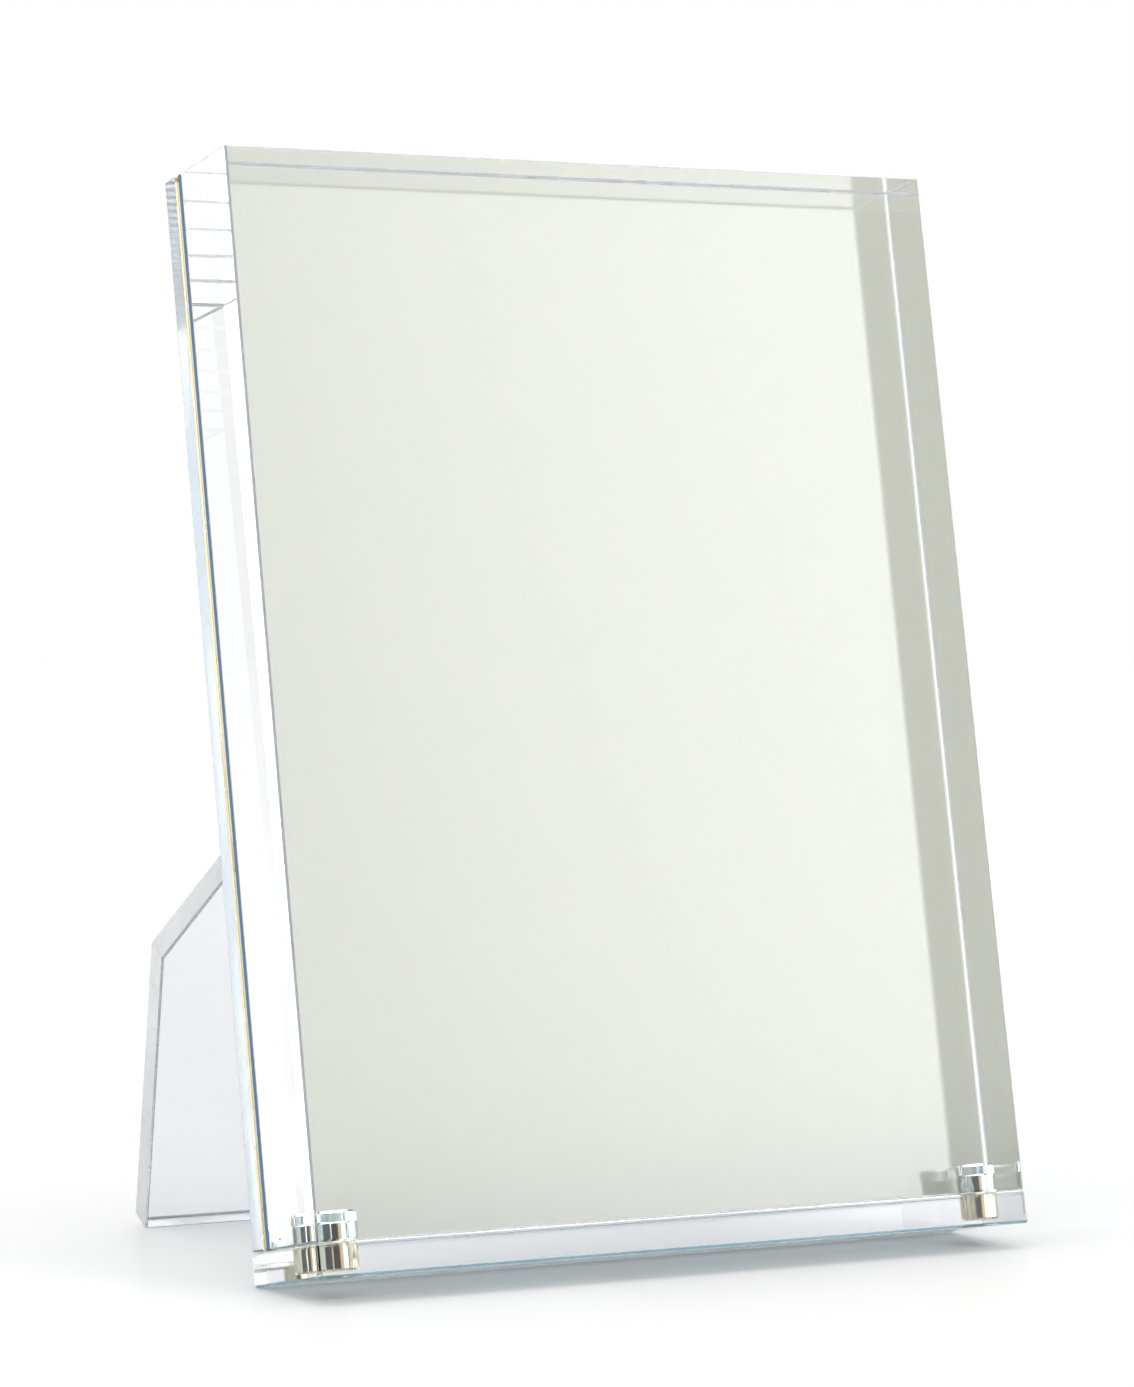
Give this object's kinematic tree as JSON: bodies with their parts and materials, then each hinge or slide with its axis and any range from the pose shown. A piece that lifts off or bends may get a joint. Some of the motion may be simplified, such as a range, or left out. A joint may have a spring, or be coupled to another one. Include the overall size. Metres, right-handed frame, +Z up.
{
  "type": "acrylic photo frame",
  "caption": "Free-standing clear acrylic photo frame: a thick block on metal pins in front of the print, with a back panel, a base ledge and a sloping easel leg.",
  "frame": {"origin": "middle of the bounding box's floor, on the table", "axes": "+Z up, +X to the viewer's right across the frame, -Y towards the viewer, out of the picture's face"},
  "size_m": [0.1546, 0.1162, 0.2115],
  "materials": {
    "block_acrylic": "polished clear cast acrylic",
    "sheet_acrylic": "polished clear acrylic sheet",
    "pin_steel": "polished",
    "card_stock": "matt, grey-green white"
  },
  "bodies": {
    "stand": {"back_panel": "sheet_acrylic", "base_ledge": "sheet_acrylic", "easel_leg": "sheet_acrylic", "pin_left": "pin_steel", "pin_right": "pin_steel"},
    "block": {"front_block": "block_acrylic"},
    "card": {"insert_card": "card_stock"}
  },
  "joints": [
    {"name": "block_lift", "type": "slide", "parent": "stand", "child": "block", "axis": [0, 0.1874, 0.9823], "range_m": [0, 0.215]},
    {"name": "card_lift", "type": "slide", "parent": "stand", "child": "card", "axis": [0, 0.1874, 0.9823], "range_m": [0, 0.215]}
  ]
}
